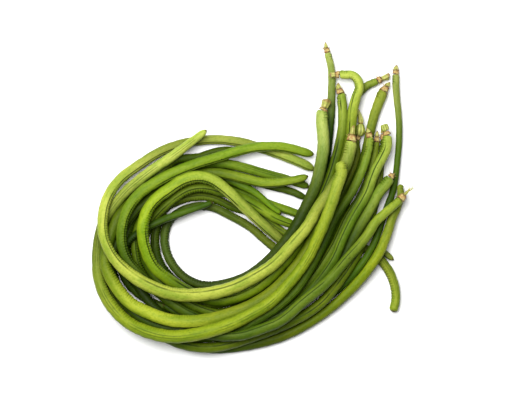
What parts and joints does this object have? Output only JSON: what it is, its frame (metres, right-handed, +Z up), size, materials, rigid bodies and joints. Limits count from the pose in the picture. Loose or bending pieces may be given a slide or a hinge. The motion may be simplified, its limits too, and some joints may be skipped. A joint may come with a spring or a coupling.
{
  "type": "yardlong bean bunch",
  "caption": "Loose bunch of very long thin bean pods lying coiled into one open loop, stalk ends fanned out together at one side.",
  "frame": {"origin": "centre of the bunch's bounding box in plan, on the surface it lies on", "axes": "+Z up from the surface, +X from the closed end of the loop towards the stalk ends, +Y towards the stalk tips"},
  "size_m": [0.2704, 0.2646, 0.0383],
  "materials": {
    "pod_light": "satin",
    "pod_mid": "satin",
    "pod_dark": "satin",
    "stalk": "matte",
    "knob": "matte",
    "collar": "matte"
  },
  "bodies": {
    "root": {"collar_02": "collar", "collar_03": "collar", "collar_04": "collar", "collar_05": "collar", "collar_06": "collar", "collar_07": "collar", "collar_08": "collar", "collar_09": "collar", "collar_10": "collar", "collar_11": "collar", "collar_12": "collar", "collar_13": "collar", "collar_14": "collar", "collar_15": "collar", "collar_16": "collar", "knob_10": "knob", "knob_15": "knob", "pod_01": "pod_light", "pod_02": "pod_light", "pod_03": "pod_light", "pod_04": "pod_mid", "pod_05": "pod_dark", "pod_06": "pod_light", "pod_07": "pod_mid", "pod_08": "pod_mid", "pod_09": "pod_dark", "pod_10": "pod_mid", "pod_11": "pod_dark", "pod_12": "pod_mid", "pod_13": "pod_dark", "pod_14": "pod_mid", "pod_15": "pod_mid", "pod_16": "pod_mid", "pod_17": "pod_mid", "stalk_02": "stalk", "stalk_03": "stalk", "stalk_04": "stalk", "stalk_05": "stalk", "stalk_06": "stalk", "stalk_07": "stalk", "stalk_08": "stalk", "stalk_09": "stalk", "stalk_10": "stalk", "stalk_11": "stalk", "stalk_12": "stalk", "stalk_13": "stalk", "stalk_14": "stalk"}
  },
  "joints": []
}
